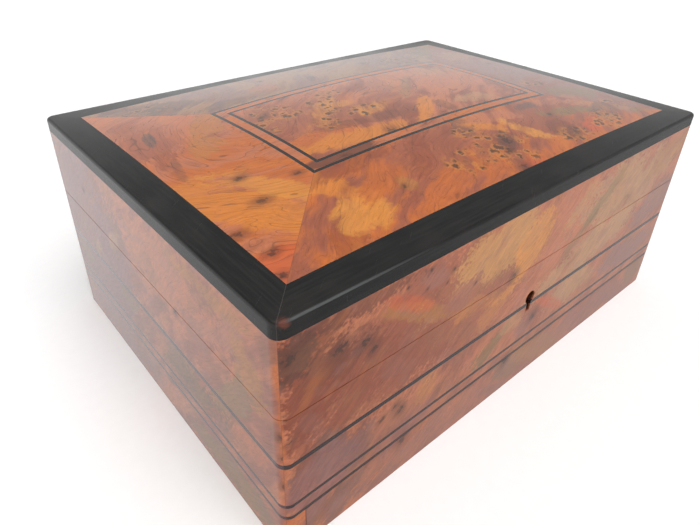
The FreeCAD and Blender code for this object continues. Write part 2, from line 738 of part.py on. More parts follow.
def base():
    plinth = block("plinth", ("-(half_length - strip)", "-(half_width - strip)", "0"),
                   ("half_length - strip", "half_width - strip", "foot_height"))
    pocket_left = "-(half_length - strip - pocket_inset)"
    pocket = block("key_pocket", (pocket_left, "-(plinth_front + 1)", "pocket_floor"),
                   (f"{pocket_left} + pocket_width", "-(plinth_front - pocket_depth)",
                    "pocket_floor + pocket_height"))
    tools = [pocket, strip_groove("front_groove", "front"), strip_groove("end_groove", "right")]
    keep("base_board", cut("base_board", plinth, *tools, *stop_screws()))

    edge = "half_length - strip"
    sliding_strip("front_base_strip", "front", f"-({edge} - running_gap)", None)
    sliding_strip("end_base_strip", "right", None, "half_width")
    left = block("left_strip_stock", ("-half_length", "-half_width", "0"),
                 (f"-({edge})", "half_width", "foot_height"))
    keep("left_base_strip", common("left_base_strip", outline, left))
    back = block("back_strip_stock", (f"-({edge})", "half_width - strip", "0"),
                 (f"{edge} - running_gap", "half_width", "foot_height"))
    keep("back_base_strip", common("back_base_strip", outline, back))

    def inside(name, low, high):
        return block(name, ("-(half_length - wall)", "-(half_width - wall)", low),
                     ("half_length - wall", "half_width - wall", high))

    keep("floor_panel", inside("floor_panel", "foot_height", "floor_top"))
    keep("floor_felt", inside("floor_felt", "floor_top", "floor_top + felt"))
    key()


rim_tools, lid_tools = hinges()
wall_tools, strike_tools = lock()
walls(wall_tools, rim_tools)
lid(strike_tools, lid_tools)
base()

doc.recompute()

faults = []
for item in doc.Objects:
    if {"Invalid", "Error"} & set(item.State):
        faults.append(f"{item.Name}: {item.State}")
for name, item in pieces.items():
    shape = item.Shape
    if shape.isNull() or not shape.isValid() or not shape.Solids:
        faults.append(f"{name}: no valid solid")
if faults:
    raise RuntimeError("; ".join(faults))

os.makedirs("parts", exist_ok=True)
for name, item in pieces.items():
    item.Shape.exportStep(f"parts/{name}.step")
    print(f"{name}: {len(item.Shape.Solids)} solid(s), {item.Shape.Volume:.1f} mm3")
print(len(pieces), "nodes")
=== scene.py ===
import json
import math
import bpy
from mathutils import Matrix, Vector

# The looks of a burl-wood box with ebony edging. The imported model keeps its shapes; this script gives
# every piece its material, and makes the floor, the light and the camera.

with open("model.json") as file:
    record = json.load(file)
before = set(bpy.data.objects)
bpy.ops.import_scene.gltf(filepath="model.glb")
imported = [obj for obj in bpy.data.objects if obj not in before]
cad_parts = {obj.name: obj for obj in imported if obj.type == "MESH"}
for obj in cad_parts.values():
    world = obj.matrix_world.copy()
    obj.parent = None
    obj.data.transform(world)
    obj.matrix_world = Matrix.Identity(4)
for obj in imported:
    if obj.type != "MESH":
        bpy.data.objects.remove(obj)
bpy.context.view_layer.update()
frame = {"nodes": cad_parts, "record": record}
nodes = frame["nodes"]

MM = 1000.0                     # millimetres in a metre: patterns are laid out in millimetres
HALF_LENGTH, HALF_WIDTH = 125.0, 90.0
ARRIS = 100.7                   # height of the edge between the sides and the domed top
VENEER = 1.5                    # thickness of burl on the outside of the walls
KEYHOLE = (0.0, 46.5, 7.0)      # middle of the keyhole in x and z, and a radius that takes it all in
FLOOR_RADIUS, DOME_RADIUS = 6.0, 5.9            # metres

# The burl's grain, in millimetres: the size of its broad and small bends, and how far each pushes the
# fibres, the outlines of patches and the small marks.
BROAD_BEND, SMALL_BEND = 38, 9
FIBRE_PUSH = {"broad": 26.0, "small": 2.6}
PATCH_PUSH, MARK_PUSH = 6.0, 1.6
ARC_SCALE = 40.0                # length of a radian along the curved grain of the left field
EYE_SPACING = 3.5

# Wood tones, as red, green and blue from 0 to 255.
TONES = {
    "orange": (212, 112, 44), "flame": (220, 98, 48), "amber": (232, 140, 50), "gold": (236, 154, 64),
    "honey": (218, 154, 88), "ochre": (196, 130, 62), "tan": (208, 152, 104), "olive": (152, 120, 74),
    "salmon": (212, 126, 84), "rose": (178, 104, 80), "clay": (176, 98, 68), "rust": (148, 70, 40),
    "mauve": (170, 118, 106), "lilac": (160, 106, 104), "bark": (156, 104, 64),
    "umber": (108, 58, 40), "smoke": (110, 82, 76), "ink": (46, 28, 22),
}
VARNISH = {"Coat_Roughness": 0.04, "Coat_IOR": 1.5}


def linear(tone):
    """A tone's name or its 0 to 255 values, as linear colour with alpha."""
    values = TONES.get(tone, tone)
    straight = [v / 255 for v in values]
    return [v / 12.92 if v <= 0.04045 else ((v + 0.055) / 1.055) ** 2.4 for v in straight] + [1.0]


class Graph:
    """Writes a material's nodes as expressions."""

    def __init__(self, tree):
        self.tree = tree
        tree.nodes.clear()

    def feed(self, socket, value):
        if isinstance(value, bpy.types.NodeSocket):
            self.tree.links.new(value, socket)
        else:
            socket.default_value = value

    def node(self, kind, inputs=(), **settings):
        made = self.tree.nodes.new("ShaderNode" + kind)
        for name, value in settings.items():
            setattr(made, name, value)
        for socket, value in dict(inputs).items():
            self.feed(made.inputs[socket], value)
        return made

    def calc(self, operation, *values):
        return self.node("Math", enumerate(values), operation=operation).outputs[0]

    def vector(self, operation, *values):
        made = self.node("VectorMath", enumerate(values), operation=operation)
        return made.outputs["Value" if operation == "LENGTH" else "Vector"]

    def scaled(self, vector, amount):
        return self.node("VectorMath", {0: vector, "Scale": amount}, operation="SCALE").outputs[0]

    def split(self, vector):
        return list(self.node("SeparateXYZ", {0: vector}).outputs)

    def join(self, x, y, z):
        return self.node("CombineXYZ", {0: x, 1: y, 2: z}).outputs[0]

    def framed(self, vector, centre=(0, 0, 0), angle=0.0, size=(1, 1, 1)):
        """The vector seen from a turned frame at centre, in units of size."""
        turn = (0, 0, math.radians(angle))
        return self.node("Mapping", {"Vector": vector, "Location": centre, "Rotation": turn, "Scale": size},
                         vector_type="TEXTURE").outputs[0]

    def ease(self, value, start, end, low=0.0, high=1.0):
        inputs = {"Value": value, "From Min": start, "From Max": end, "To Min": low, "To Max": high}
        return self.node("MapRange", inputs, interpolation_type="SMOOTHSTEP").outputs[0]

    def noise(self, vector, detail=2.0, rough=0.5, output="Fac"):
        inputs = {"Vector": vector, "Scale": 1.0, "Detail": detail, "Roughness": rough}
        return self.node("TexNoise", inputs).outputs[output]

    def lumps(self, vector, size, detail=2.0, rough=0.5, output="Fac"):
        """Noise of the same size in every direction."""
        return self.noise(self.framed(vector, size=(size, size, size)), detail, rough, output)

    def cells(self, vector, size):
        return self.node("TexVoronoi", {"Vector": self.framed(vector, size=(size, size, size)), "Scale": 1.0})

    def swing(self, noise, amount):
        """How far a noise is from its middle, times an amount."""
        return self.calc("MULTIPLY", self.calc("SUBTRACT", noise, 0.5), amount)

    def gap(self, one, other):
        return self.calc("ABSOLUTE", self.calc("SUBTRACT", one, other))

    def flattened(self, vector):
        return self.vector("MULTIPLY", vector, (1, 1, 0))

    def reach(self, vector, u, v, angle=0, half_length=1, half_width=1):
        """How far a point is from the middle of an ellipse, where 1 is its edge."""
        return self.vector("LENGTH", self.framed(vector, (u, v, 0), angle, (half_length, half_width, 1)))

    def mix(self, amount, under, over, blend="MIX"):
        made = self.node("Mix", {0: amount, 6: under, 7: over}, data_type="RGBA", blend_type=blend)
        return made.outputs[2]

    def shade(self, colour, amount):
        return self.mix(1.0, colour, amount, "MULTIPLY")

    def bump(self, height, strength, depth):
        """A surface normal from a height, where depth is in millimetres."""
        inputs = {"Height": height, "Strength": strength, "Distance": depth / MM}
        return self.node("Bump", inputs).outputs[0]

    def place(self):
        """Where a point is on the object, in millimetres."""
        return self.scaled(self.node("TexCoord").outputs["Object"], MM)

    def surface(self, **sockets):
        """The finished surface: colour, roughness and the rest by socket name."""
        shader = self.node("BsdfPrincipled", {name.replace("_", " "): v for name, v in sockets.items()})
        self.node("OutputMaterial", {"Surface": shader.outputs[0]})


def new_graph(name):
    material = bpy.data.materials.new(name)
    material.use_nodes = True
    return material, Graph(material.node_tree)


def plain_wood(g, place, axis):
    """Colour of plain straight-grained wood with its grain along one axis, and the noise of its fibres."""
    size = [1.2, 1.2, 1.2]
    size[axis] = 45.0
    rings = g.noise(g.framed(place, size=[3.5 * s for s in size]), 1.0)
    fibre = g.noise(g.framed(place, size=size), 3.0, 0.6)
    colour = g.mix(g.ease(rings, 0.35, 0.65), linear("honey"), linear("tan"))
    return g.shade(colour, g.ease(fibre, 0.25, 0.75, 0.72, 1.08)), fibre


def mitre_line(g, parts):
    """The hairline where two pieces meet on the diagonal of a corner."""
    x_inset = g.calc("SUBTRACT", g.calc("ABSOLUTE", parts["x"]), HALF_LENGTH)
    y_inset = g.calc("SUBTRACT", g.calc("ABSOLUTE", parts["y"]), HALF_WIDTH)
    return g.ease(g.gap(x_inset, y_inset), 0.2, 0.08, 0.0, 0.45)


class Grain:
    """Where the fibres of one burl face run, and the noises that its colours share."""

    def __init__(self, g, spot, angle, arcs, wander, strand):
        half = (0.5, 0.5, 0.5)
        broad = g.vector("SUBTRACT", g.lumps(spot, BROAD_BEND, 1.0, output="Color"), half)
        small = g.vector("SUBTRACT", g.lumps(spot, SMALL_BEND, 1.0, output="Color"), half)
        push = g.vector("ADD", g.scaled(broad, FIBRE_PUSH["broad"] * wander),
                        g.scaled(small, FIBRE_PUSH["small"] * wander))
        flow = g.vector("ADD", spot, push)
        self.marks = g.flattened(g.vector("ADD", spot, g.scaled(small, MARK_PUSH)))
        self.patches = g.vector("ADD", self.marks, g.flattened(g.scaled(broad, PATCH_PUSH)))
        if arcs:
            angle = 0
            u, v, depth = g.split(g.framed(flow, (*arcs, 0)))
            around = g.calc("MULTIPLY", g.calc("ARCTAN2", v, u), ARC_SCALE)
            squares = g.calc("ADD", g.calc("MULTIPLY", u, u), g.calc("MULTIPLY", v, v))
            flow = g.join(around, g.calc("SQRT", squares), depth)
        self.angle = angle
        self.fibre = g.noise(g.framed(flow, angle=angle, size=(strand, 1.1, 1.1)), 3.0, 0.6)
        self.figure = g.noise(g.framed(flow, angle=angle, size=(strand + 14.0, 9, 9)), 2.0, 0.55)
        self.hair = g.gap(g.noise(g.framed(flow, angle=angle, size=(40, 4, 4)), 0.0), 0.5)
        self.pores = g.ease(g.noise(g.framed(flow, angle=angle, size=(2.6, 0.5, 0.5)), 1.0), 0.66, 0.74)
        self.mottle = g.noise(g.framed(spot, size=(17, 13, 15)), 3.0, 0.6)
        self.grit = g.lumps(spot, 1.5)
        self.ragged = g.calc("ADD", g.swing(self.fibre, 0.7), g.swing(self.figure, 1.6))


def patched(g, grain, ground, patches, speckle):
    """Ground colour and patches, whose edges feather along the fibres and break up into flecks."""
    flecked = g.calc("ADD", grain.ragged, g.swing(grain.grit, speckle))
    flecked = g.calc("ADD", flecked, g.swing(grain.mottle, 1.2))
    colour = g.mix(g.ease(grain.figure, 0.4, 0.6), linear(ground[0]), linear(ground[1]))
    for tone, u, v, half_length, half_width, angle, strength in patches:
        reach = g.reach(grain.patches, u, v, angle, half_length, half_width)
        cover = g.ease(g.calc("ADD", reach, flecked), 1.12, 0.72, 0.0, strength)
        colour = g.mix(cover, colour, linear(tone))
    return colour


def figured(g, grain, colour, strand, bold, blotch):
    """The colour with the burl's dark and bright figure, spots of other tones, fibres and pores."""
    for noise, start, end, strength, tone in (
            (grain.figure, 0.52, 0.72, bold, "rust"), (grain.figure, 0.45, 0.25, 0.6 * bold, "amber"),
            (grain.mottle, 0.53, 0.62, blotch, "bark"), (grain.mottle, 0.47, 0.38, blotch, "mauve")):
        colour = g.mix(g.ease(noise, start, end, 0.0, strength), colour, linear(tone))
    colour = g.shade(colour, g.ease(grain.fibre, 0.2, 0.8, 0.84, 1.12))
    hair_shade = 0.98 - 0.016 * strand
    colour = g.shade(colour, g.ease(grain.hair, 0.0, 0.017, hair_shade, 1.0))
    return g.mix(g.calc("MULTIPLY", grain.pores, 0.35), colour, linear("umber"))


def bird_eyes(g, grain, colour, clusters):
    """The colour with clusters of bird's eyes, dark points in pale rings, and where the points are."""
    cell = g.cells(grain.marks, EYE_SPACING)
    inside = 0.0
    for u, v, half_length, half_width in clusters:
        reach = g.reach(grain.patches, u, v, 0, half_length, half_width)
        inside = g.calc("MAXIMUM", inside, g.ease(g.calc("ADD", reach, grain.ragged), 1.15, 0.75))
    chosen = g.ease(g.split(cell.outputs["Color"])[0], 0.15, 0.3)
    shown = g.calc("MULTIPLY", chosen, inside)
    from_middle = g.calc("ADD", cell.outputs["Distance"], g.swing(grain.grit, 0.9))
    ring = g.calc("MULTIPLY", shown, g.ease(from_middle, 0.8, 0.55, 0.0, 0.4))
    point = g.calc("MULTIPLY", shown, g.ease(from_middle, 0.48, 0.26))
    colour = g.mix(g.calc("MULTIPLY", inside, 0.15), colour, linear("umber"))
    colour = g.mix(ring, colour, linear("gold"))
    return g.mix(g.calc("MULTIPLY", point, 0.8), colour, linear("ink")), point


def knot(g, grain, colour, u, v, radius):
    """The colour with one knot, a dark core in a brown halo, and where the core is."""
    reach = g.reach(grain.marks, u, v, grain.angle, 1.7 * radius, 1.2 * radius)
    halo = g.ease(g.calc("ADD", reach, grain.ragged), 2.6, 0.6, 0.0, 0.5)
    core = g.ease(g.calc("ADD", reach, g.swing(grain.grit, 2.4)), 0.9, 0.3)
    colour = g.mix(halo, colour, linear("umber"))
    return g.mix(g.calc("MULTIPLY", core, 0.6), colour, linear("ink")), core


def burl(name, axes, ground, grain_angle, patches=(), knots=(), eyes=(), arcs=None, seed=0.0,
         mirror=False, core_axis=None, dim=1.0, mitred=True, wander=1.0, strand=26.0, bold=0.5,
         blotch=0.06, bore=None):
    """Polished burl veneer. Sizes and places are in millimetres, and angles in degrees.

    axes: the two object axes that its picture lies in, called u and v below
    ground: the two tones between the patches
    patches: (tone, u, v, half length, half width, angle, strength)
    knots: (u, v, radius)
    eyes: clusters of bird's eyes, as (u, v, half length, half width)
    arcs: the middle (u, v) of grain that runs in rings
    seed, mirror: other grain, and the picture the other way round
    core_axis: set on walls, where wood deeper than the veneer is plain, with its grain along this axis
    dim: how bright the whole is
    wander, strand: how much the grain bends, and how long its fibres are
    bold, blotch: how strong the figure is, and the spots of other tones
    bore: a hole in the front wall whose sides are darkened with painted shade, as (u, v, radius)
    """
    material, g = new_graph(name)
    place = g.place()
    parts = dict(zip("xyz", g.split(place)))
    depth_axis = (set("xyz") - set(axes)).pop()
    across = g.calc("MULTIPLY", parts[axes[0]], -1.0) if mirror else parts[axes[0]]
    spot = g.join(across, parts[axes[1]], g.calc("ADD", parts[depth_axis], seed * 300.0))
    grain = Grain(g, spot, grain_angle, arcs, wander, strand)

    colour = patched(g, grain, ground, patches, speckle=0.5 if core_axis is None else 1.4)
    colour = figured(g, grain, colour, strand, bold, blotch)
    dark = grain.pores
    if eyes:
        colour, point = bird_eyes(g, grain, colour, eyes)
        dark = g.calc("MAXIMUM", dark, point)
    for u, v, radius in knots:
        colour, core = knot(g, grain, colour, u, v, radius)
        dark = g.calc("MAXIMUM", dark, core)
    colour = g.shade(colour, (dim, dim, dim, 1.0))
    if mitred:
        colour = g.mix(mitre_line(g, parts), colour, linear("umber"))

    if core_axis is None:
        coat, rough = 1.0, g.ease(grain.fibre, 0.2, 0.8, 0.26, 0.38)
    else:
        x_depth = g.calc("SUBTRACT", g.calc("ABSOLUTE", parts["x"]), HALF_LENGTH - VENEER)
        y_depth = g.calc("SUBTRACT", g.calc("ABSOLUTE", parts["y"]), HALF_WIDTH - VENEER)
        coat = g.ease(g.calc("MAXIMUM", x_depth, y_depth), -0.02, 0.02)
        plain, _ = plain_wood(g, place, core_axis)
        colour = g.mix(coat, plain, colour)
        rough = g.ease(coat, 0.0, 1.0, 0.5, 0.35)
    # Painted shade: inside the keyhole the sides turn near black-brown below the face, standing in for the
    # shadow in the hole.
    if bore:
        u, v, radius = bore
        round_hole = g.ease(g.reach(g.flattened(spot), u, v), radius + 0.2, radius)
        below_face = g.ease(y_depth, 1.45, 0.4)
        painted_hole_shade = g.calc("MULTIPLY", g.calc("MULTIPLY", round_hole, below_face), 0.95)
        colour = g.mix(painted_hole_shade, colour, linear((52, 20, 12)))
    height = g.calc("SUBTRACT", g.calc("MULTIPLY", grain.fibre, 0.3), dark)
    g.surface(Base_Color=colour, Roughness=rough, Normal=g.bump(height, 0.25, 0.12), Coat_Weight=coat,
              Specular_IOR_Level=0.45, **VARNISH)
    return material


def painted_edge_highlight(g, parts):
    """Where a painted highlight lies along the top front edge, towards the near corner."""
    line = g.ease(g.gap(parts["z"], ARRIS - 0.4), 0.4, 0.12)
    stretch = g.ease(parts["x"], -60.0, -105.0)
    front = g.ease(parts["y"], -85.0, -88.0)
    short_of_corner = g.ease(parts["x"], -123.0, -119.0, 0.0, 0.45)
    return g.calc("MULTIPLY", g.calc("MULTIPLY", g.calc("MULTIPLY", line, stretch), front), short_of_corner)


def ebony(name, along, tones=((23, 23, 23), (35, 34, 33)), coat=0.0):
    """Polished near-black wood with fine pores, light scratches, a painted highlight along the front edge
    and a brown chip at the near corner."""
    material, g = new_graph(name)
    place = g.place()
    parts = dict(zip("xyz", g.split(place)))
    size = [0.7, 0.7, 0.7]
    size[along] = 16.0
    fibre = g.noise(g.framed(place, size=size), 2.0)
    cloud = g.lumps(place, 18)
    colour = g.mix(g.ease(fibre, 0.35, 0.7), linear(tones[0]), linear(tones[1]))
    colour = g.mix(g.ease(cloud, 0.5, 0.75, 0.0, 0.4), colour, linear((42, 38, 36)))
    chip = g.vector("LENGTH", g.vector("SUBTRACT", place, (-HALF_LENGTH + 3, -HALF_WIDTH, ARRIS + 0.4)))
    worn = g.ease(g.calc("ADD", chip, g.calc("MULTIPLY", fibre, 4.0)), 4.8, 3.2, 0.0, 0.7)
    colour = g.mix(worn, colour, linear((112, 58, 42)))
    # Painted highlight: a pale grey line along the top front edge, standing in for a lamp's reflection in the
    # rounded edge.
    colour = g.mix(painted_edge_highlight(g, parts), colour, linear((112, 114, 114)))
    marks = g.noise(g.framed(place, angle=35, size=(14, 0.12, 6)), 1.0)
    scratch = g.ease(marks, 0.76, 0.8)
    colour = g.mix(g.calc("MULTIPLY", scratch, 0.25), colour, linear((120, 112, 106)))
    colour = g.mix(mitre_line(g, parts), colour, linear((84, 78, 74)))
    rough = g.calc("ADD", g.ease(cloud, 0.3, 0.7, 0.14, 0.24), g.calc("MULTIPLY", scratch, 0.2))
    height = g.calc("SUBTRACT", fibre, scratch)
    g.surface(Base_Color=colour, Roughness=rough, Normal=g.bump(height, 0.12, 0.05), Coat_Weight=coat,
              **VARNISH)
    return material


def core_wood(name):
    """Plain oiled wood of the frame and the moving strips, with its grain along X."""
    material, g = new_graph(name)
    colour, fibre = plain_wood(g, g.place(), 0)
    g.surface(Base_Color=colour, Roughness=g.ease(fibre, 0.3, 0.7, 0.42, 0.58),
              Normal=g.bump(fibre, 0.3, 0.15))
    return material


def felt(name):
    """Dark red woollen felt: short matted fibres."""
    material, g = new_graph(name)
    place = g.place()
    matted = g.lumps(place, 0.45, 4.0, 0.7)
    worn = g.lumps(place, 22)
    colour = g.mix(g.ease(matted, 0.3, 0.7), linear((92, 22, 28)), linear((138, 44, 46)))
    colour = g.shade(colour, g.ease(worn, 0.3, 0.7, 0.85, 1.1))
    g.surface(Base_Color=colour, Roughness=g.ease(matted, 0.2, 0.8, 0.85, 1.0),
              Normal=g.bump(matted, 0.7, 0.4), Sheen_Weight=0.5, Sheen_Roughness=0.5)
    return material


def metal(name, bright, dull, rough, brushed):
    """Metal with fine brushing along X and patches of tarnish."""
    material, g = new_graph(name)
    place = g.place()
    brush = g.noise(g.framed(place, size=(6, 0.15, 0.15)), 2.0)
    tarnish = g.lumps(place, 5, 4.0, 0.65)
    colour = g.mix(g.ease(tarnish, 0.42, 0.72), linear(bright), linear(dull))
    shine = g.calc("ADD", g.ease(tarnish, 0.4, 0.7, rough, rough + 0.2), g.calc("MULTIPLY", brush, 0.1))
    g.surface(Base_Color=colour, Metallic=1.0, Roughness=shine, Normal=g.bump(brush, brushed, 0.03))
    return material


# ---- burl of each face: patches of tone, knots and clusters of eyes, laid out as burl() says ----

FRONT = {
    "patches": [
        ("clay", -60, 70, 70, 30, 0, 0.8), ("rust", -84, 62, 44, 24, 10, 0.5),
        ("rust", -114, 78, 26, 15, 90, 0.85), ("rust", -100, 62, 26, 16, 20, 0.45),
        ("umber", -106, 80, 16, 9, 0, 0.35),
        ("ochre", -68, 75, 26, 4, -28, 0.6), ("flame", -75, 82.5, 16, 3.2, -33, 0.55),
        ("gold", -36, 63, 18, 5, -8, 0.5), ("honey", -32, 83, 28, 13, 12, 0.9),
        ("gold", -4, 78, 17, 11, 60, 0.85), ("gold", -26, 56, 12, 6, 30, 0.35),
        ("rose", -48, 73, 12, 6, 10, 0.75), ("clay", -70, 89, 14, 6, -20, 0.9),
        ("mauve", -64, 87, 8, 4, -20, 0.4),
        ("salmon", 20, 80, 24, 15, 60, 0.95), ("salmon", 6, 58, 20, 9, 20, 0.8),
        ("tan", 68, 76, 42, 18, 0, 0.9), ("tan", 48, 55, 38, 10, 8, 0.9),
        ("ochre", 104, 84, 20, 9, 20, 0.6), ("olive", 44, 78, 18, 4, 40, 0.6),
        ("olive", 28, 66, 15, 4, 30, 0.5), ("mauve", 104, 58, 24, 9, 15, 0.85),
        ("smoke", -112, 36, 14, 11, 0, 0.55), ("smoke", -94, 31, 10, 6, 60, 0.4),
        ("salmon", -75, 37, 14, 8, 0, 0.6), ("gold", -62, 38, 8, 6, 80, 0.4),
        ("olive", -24, 34, 14, 5, 30, 0.8), ("tan", -10, 39, 9, 5, 0, 0.6),
        ("mauve", 0, 33, 8, 5, 0, 0.5), ("tan", 40, 36, 22, 8, 0, 0.9),
        ("flame", 19, 36, 14, 2.5, -35, 0.6), ("mauve", 88, 36, 34, 9, 0, 0.85),
        ("smoke", -108, 11, 17, 9, 0, 0.45), ("salmon", -55, 12, 30, 9, 0, 0.8),
        ("olive", -6, 13, 14, 8, 0, 0.7), ("ochre", 18, 10, 28, 7, -25, 0.7),
        ("mauve", -16, 5, 14, 4, -20, 0.6), ("rose", 74, 11, 38, 9, -10, 0.8),
        ("olive", 110, 12, 13, 8, 0, 0.5), ("smoke", -90, 22, 60, 22, 0, 0.25),
        ("mauve", 0, 4, 135, 16, 0, 0.45), ("orange", -125, 50, 60, 1.2, 90, 0.6),
        ("rust", -118, 62, 46, 5, 90, 0.55), ("umber", -118, 86, 10, 7, 60, 0.95),
        # The umber band at v 94, just under the lid's ebony border, is partly a dark stain and partly painted
        # shade under the border.
        ("umber", -98, 94, 26, 5, -4, 0.6), ("lilac", -112, 28, 20, 12, 20, 0.5),
        ("lilac", -70, 24, 16, 6, 10, 0.4), ("clay", -44, 64, 22, 9, 10, 0.5),
    ],
    "knots": [(-104, 81, 2.0), (-94, 78, 1.6), (-90, 73, 1.4), (-17, 67, 1.4), (-78, 39, 1.2),
              (-75, 35, 1.3), (-84, 37, 1.1), (-72, 17, 1.9), (-9, 18, 1.9), (6, 35, 1.6), (-121, 88, 1.8),
              (-122, 55, 0.9), (-67, 92, 0.6), (-55, 87, 0.6), (-58, 83, 0.5), (-68, 85, 0.5),
              (-77, 90, 0.5), (-42, 75, 0.5)],
}
LEFT = {
    "patches": [
        ("lilac", 62, 50, 48, 60, 0, 0.95), ("salmon", -22, 76, 50, 18, 0, 0.85),
        ("lilac", 24, 62, 22, 14, 90, 0.8), ("rose", 62, 62, 28, 10, -50, 0.35),
        ("ochre", -76, 70, 14, 8, 70, 0.7), ("ochre", -52, 89, 24, 4, 0, 0.6),
        ("olive", -62, 50, 18, 7, -40, 0.7), ("rose", -46, 58, 15, 8, 45, 0.6),
        ("olive", -25, 36, 24, 9, 0, 0.7), ("umber", -36, 34, 30, 8, 0, 0.3),
        ("smoke", 16, 22, 70, 26, 0, 0.22), ("salmon", -72, 38, 10, 8, 0, 0.6),
        ("tan", 25, 66, 9, 4, -45, 0.6), ("tan", 50, 50, 8, 4, -45, 0.5),
        ("olive", 22, 42, 8, 6, 0, 0.5), ("olive", 72, 38, 10, 6, 0, 0.5),
        ("salmon", -5, 35, 13, 5, -40, 0.6), ("olive", -56, 10, 27, 9, 0, 0.7),
        ("salmon", -10, 11, 15, 8, -20, 0.8), ("mauve", 40, 14, 42, 10, 0, 0.6),
        ("orange", -90, 50, 60, 1.8, 90, 0.7),
    ],
    "knots": [(-27, 64, 1.1), (-89, 58, 0.9), (-89, 49, 0.8), (-89, 36, 0.9), (54, 79, 0.9)],
}
FIELD_LEFT = {
    "patches": [
        ("salmon", -98, 62, 48, 24, 70, 0.85), ("rose", -102, 34, 28, 12, 90, 0.5),
        ("ochre", -82, 22, 24, 7, 60, 0.55), ("rust", -105, 12, 18, 5, 80, 0.4),
        ("amber", -98, -44, 44, 12, -58, 0.8), ("gold", -82, -44, 34, 6, -60, 0.75),
        ("amber", -88, -72, 14, 6, 0, 0.5), ("rust", -92, -67, 22, 3, 48, 0.35),
        ("flame", -110, -71, 14, 9, 0, 0.7), ("clay", -106, 30, 16, 12, 75, 0.7),
        ("smoke", -103, 31, 6, 2.6, 75, 0.85), ("smoke", -105, 0, 9, 2, 80, 0.3),
    ],
    "knots": [(-93, -22, 1.5), (-95, -39, 1.6), (-111, -50, 1.5), (-108, -64, 1.3), (-112, -74, 1.1),
              (-76, -33, 1.2)],
}
FIELD_FRONT = {
    "patches": [
        ("clay", -25, -50, 26, 14, 40, 0.9), ("rust", -30, -48, 20, 5, 50, 0.4),
        ("clay", 44, -56, 14, 16, 80, 0.85), ("rust", 44, -64, 14, 7, 70, 0.4),
        ("umber", 40, -67, 13, 8, 50, 0.4),
        ("rust", -84, -71, 14, 6, 45, 0.5), ("gold", -73, -66, 12, 10, 0, 0.8),
        ("amber", -72, -48, 16, 6, -60, 0.8), ("rust", -58, -41, 20, 6, 0, 0.6),
        ("orange", -54, -54, 14, 8, 30, 0.8), ("ochre", -50, -62, 4, 7, 0, 0.6),
        ("orange", -38, -71, 22, 7, 30, 0.8), ("orange", -8, -64, 20, 8, 40, 0.8),
        ("smoke", 1, -42, 10, 4, 60, 0.6), ("rose", -2, -55, 14, 6, 50, 0.4),
        ("amber", 11, -47, 9, 4, -30, 0.8), ("salmon", 22, -42, 14, 6, -20, 0.8),
        ("smoke", 8, -60, 8, 6, 45, 0.6), ("gold", 27, -60, 18, 5, -70, 0.9),
        ("orange", 30, -73, 10, 6, -60, 0.8), ("flame", 4, -76, 8, 3, 0, 0.6),
        ("smoke", 48, -43, 10, 4, 0, 0.7), ("olive", 62, -54, 18, 5, -10, 0.8),
        ("salmon", 66, -44, 13, 5, 0, 0.8), ("salmon", 79, -49, 13, 5, -20, 0.8),
        ("flame", 62, -68, 10, 5, 20, 0.8), ("orange", 78, -67, 13, 5, 10, 0.7),
        ("mauve", 99, -66, 11, 7, 0, 0.8), ("tan", 90, -58, 20, 7, -40, 0.4),
        ("smoke", 86, -61, 14, 7, 20, 0.6), ("olive", 106, -71, 11, 5, 0, 0.6),
    ],
    "knots": [(-2, -77, 2.0), (8, -60, 2.4), (-52, -62, 0.9), (3, -66, 1.3), (45, -70, 1.6),
              (50, -54, 1.2)],
    "eyes": [(6, -62, 17, 12), (-20, -63, 10, 9), (44, -71, 9, 6), (72, -68, 14, 7), (-2, -46, 8, 5)],
}
FIELD_BACK = {
    "patches": [
        ("mauve", -60, 60, 34, 12, -45, 0.6), ("olive", -84, 62, 11, 5, 45, 0.5),
        ("smoke", -92, 62, 24, 8, -45, 0.45), ("umber", -82, 64, 22, 9, -30, 0.5),
        ("tan", -14, 68, 30, 8, 45, 0.6), ("tan", 20, 50, 32, 9, 35, 0.7),
        ("smoke", -60, 43, 18, 5, 0, 0.5), ("salmon", -35, 50, 9, 8, 0, 0.7),
        ("mauve", 44, 60, 38, 9, 45, 0.7), ("olive", 92, 62, 22, 8, 40, 0.5),
        ("smoke", -8, 48, 6, 2, 60, 0.5),
    ],
    "knots": [(-27, 66, 0.9), (36, 58, 1.1)],
    "eyes": [(-90, 66, 12, 6), (60, 50, 18, 8)],
}
FIELD_RIGHT = {
    "patches": [
        ("rose", 80, 30, 22, 14, 30, 0.5), ("tan", 98, 44, 16, 8, 40, 0.4),
        ("olive", 92, -38, 20, 9, -20, 0.6), ("salmon", 80, -46, 10, 5, 0, 0.6),
        ("mauve", 92, 6, 30, 16, 60, 0.6),
    ],
    "knots": [(90, -23, 1.2), (102, 20, 1.0)],
    "eyes": [(88, -22, 9, 6), (98, -60, 9, 7)],
}
CENTRE = {
    "patches": [
        ("clay", -46, 6, 28, 22, 0, 0.6), ("orange", -55, -18, 22, 7, 0, 0.8),
        ("amber", -42, -25, 30, 6, -5, 0.85), ("gold", -36, 2, 16, 6, 40, 0.6),
        ("gold", -18, -10, 12, 5, 0, 0.8), ("gold", -24, 4, 9, 4, 0, 0.6),
        ("umber", -24, -17, 26, 4, -12, 0.45), ("rust", -6, -9, 15, 5, 50, 0.6),
        ("amber", 2, -20, 18, 4, 45, 0.9), ("orange", -14, 12, 10, 4, 45, 0.5),
        ("rose", 8, 12, 20, 9, 40, 0.5), ("salmon", 42, 4, 28, 22, 30, 0.85),
        ("tan", 34, -22, 12, 7, 0, 0.6), ("olive", 17, 6, 16, 2.5, 45, 0.5),
        ("umber", 12, -24, 4, 7, 0, 0.5), ("tan", 52, 20, 15, 8, 0, 0.4),
    ],
    "knots": [(-58, 16, 1.5), (-26, -29, 1.8)],
    "eyes": [(-60, 7, 8, 8), (-56, 21, 7, 8), (-47, 14, 6, 9), (-30, 11, 8, 6), (-19, 18, 6, 8),
             (-43, -8, 7, 6), (-20, -8, 12, 6), (-34, 0, 7, 5)],
}

